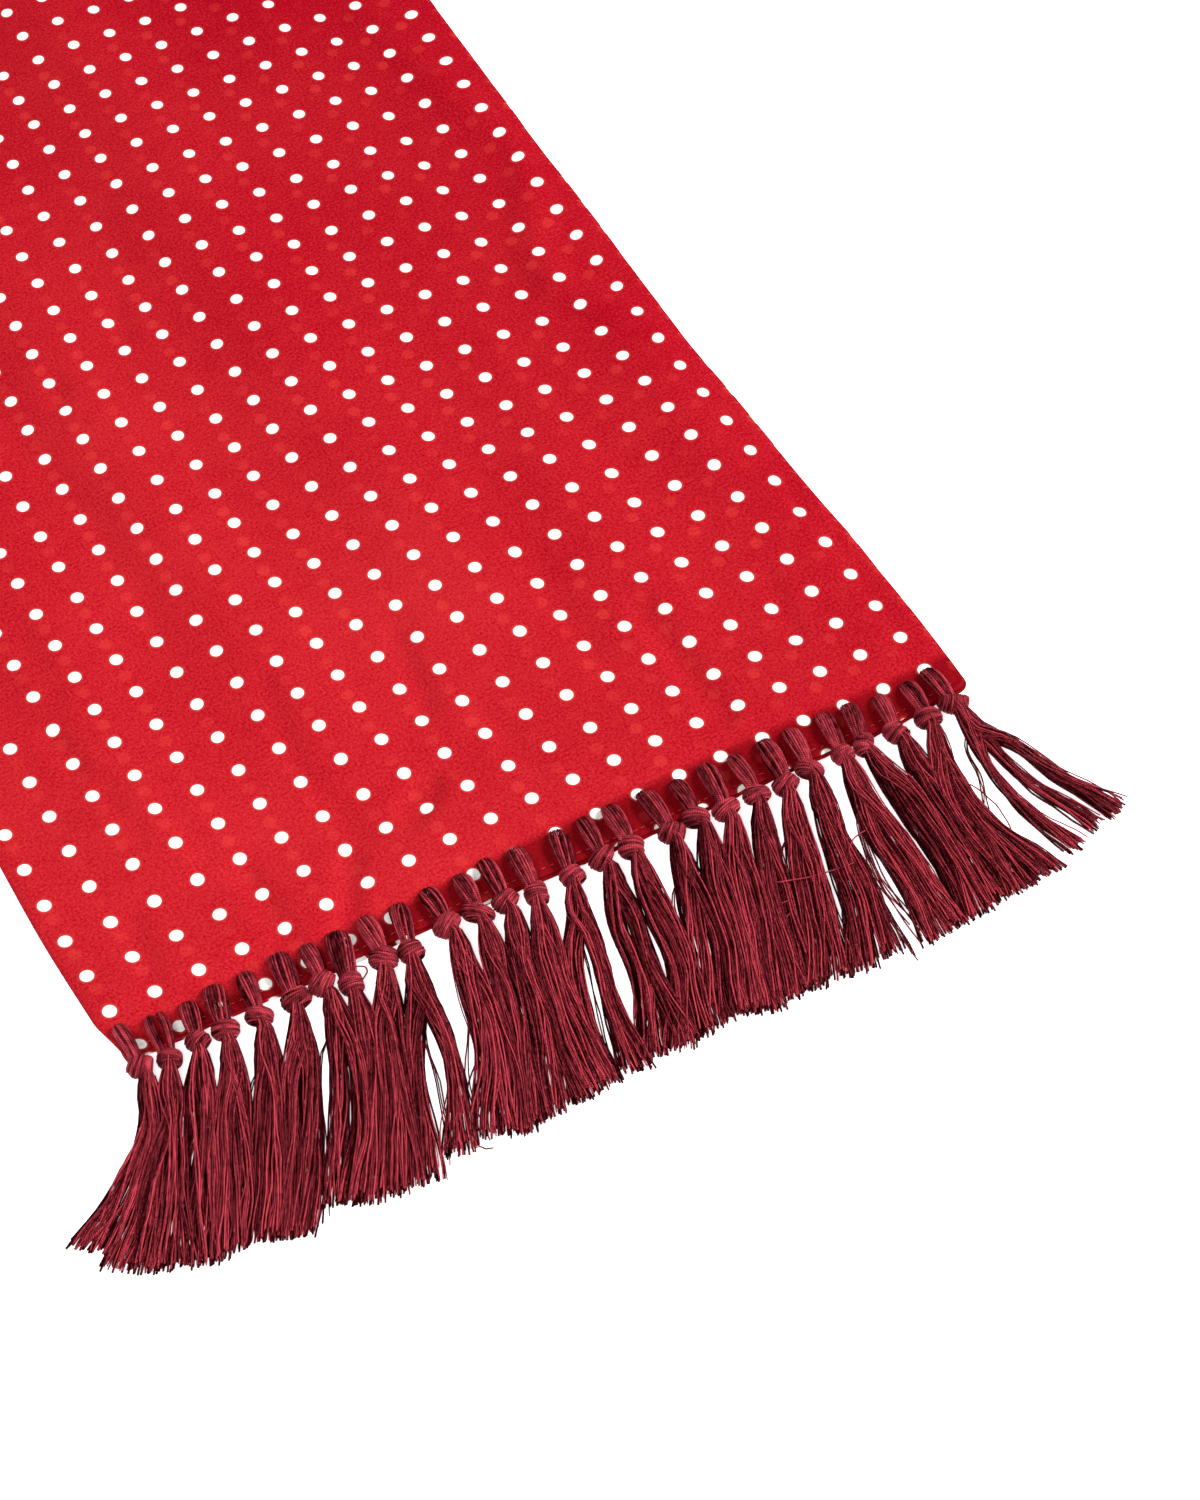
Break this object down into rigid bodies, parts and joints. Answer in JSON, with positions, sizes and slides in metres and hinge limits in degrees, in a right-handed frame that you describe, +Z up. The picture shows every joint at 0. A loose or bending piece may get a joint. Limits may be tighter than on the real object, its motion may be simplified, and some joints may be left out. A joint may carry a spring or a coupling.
{
  "type": "tasselled silk scarf",
  "caption": "Long flat scarf of printed silk, folded and sewn into a flat tube, laid out on a surface with a row of knotted thread tassels along each end.",
  "frame": {"origin": "centre of the scarf's underside, on the surface it lies on", "axes": "+Z up, +Y along the scarf towards the far tassels, +X across it towards the sewn edge"},
  "size_m": [0.305, 1.5374, 0.006],
  "materials": {
    "front_silk": "soft printed silk, red with small white dots",
    "back_silk": "soft printed silk, red with small white dots",
    "tassel_thread": "twisted dark burgundy silk thread"
  },
  "bodies": {
    "root": {"front_layer": "front_silk", "back_layer": "back_silk", "near_tassel_01": "tassel_thread", "near_tassel_02": "tassel_thread", "near_tassel_03": "tassel_thread", "near_tassel_04": "tassel_thread", "near_tassel_05": "tassel_thread", "near_tassel_06": "tassel_thread", "near_tassel_07": "tassel_thread", "near_tassel_08": "tassel_thread", "near_tassel_09": "tassel_thread", "near_tassel_10": "tassel_thread", "near_tassel_11": "tassel_thread", "near_tassel_12": "tassel_thread", "near_tassel_13": "tassel_thread", "near_tassel_14": "tassel_thread", "near_tassel_15": "tassel_thread", "near_tassel_16": "tassel_thread", "near_tassel_17": "tassel_thread", "near_tassel_18": "tassel_thread", "near_tassel_19": "tassel_thread", "near_tassel_20": "tassel_thread", "near_tassel_21": "tassel_thread", "near_tassel_22": "tassel_thread", "near_tassel_23": "tassel_thread", "near_tassel_24": "tassel_thread", "near_tassel_25": "tassel_thread", "near_tassel_26": "tassel_thread", "near_tassel_27": "tassel_thread", "near_tassel_28": "tassel_thread", "far_tassel_01": "tassel_thread", "far_tassel_02": "tassel_thread", "far_tassel_03": "tassel_thread", "far_tassel_04": "tassel_thread", "far_tassel_05": "tassel_thread", "far_tassel_06": "tassel_thread", "far_tassel_07": "tassel_thread", "far_tassel_08": "tassel_thread", "far_tassel_09": "tassel_thread", "far_tassel_10": "tassel_thread", "far_tassel_11": "tassel_thread", "far_tassel_12": "tassel_thread", "far_tassel_13": "tassel_thread", "far_tassel_14": "tassel_thread", "far_tassel_15": "tassel_thread", "far_tassel_16": "tassel_thread", "far_tassel_17": "tassel_thread", "far_tassel_18": "tassel_thread", "far_tassel_19": "tassel_thread", "far_tassel_20": "tassel_thread", "far_tassel_21": "tassel_thread", "far_tassel_22": "tassel_thread", "far_tassel_23": "tassel_thread", "far_tassel_24": "tassel_thread", "far_tassel_25": "tassel_thread", "far_tassel_26": "tassel_thread", "far_tassel_27": "tassel_thread", "far_tassel_28": "tassel_thread"}
  },
  "joints": []
}
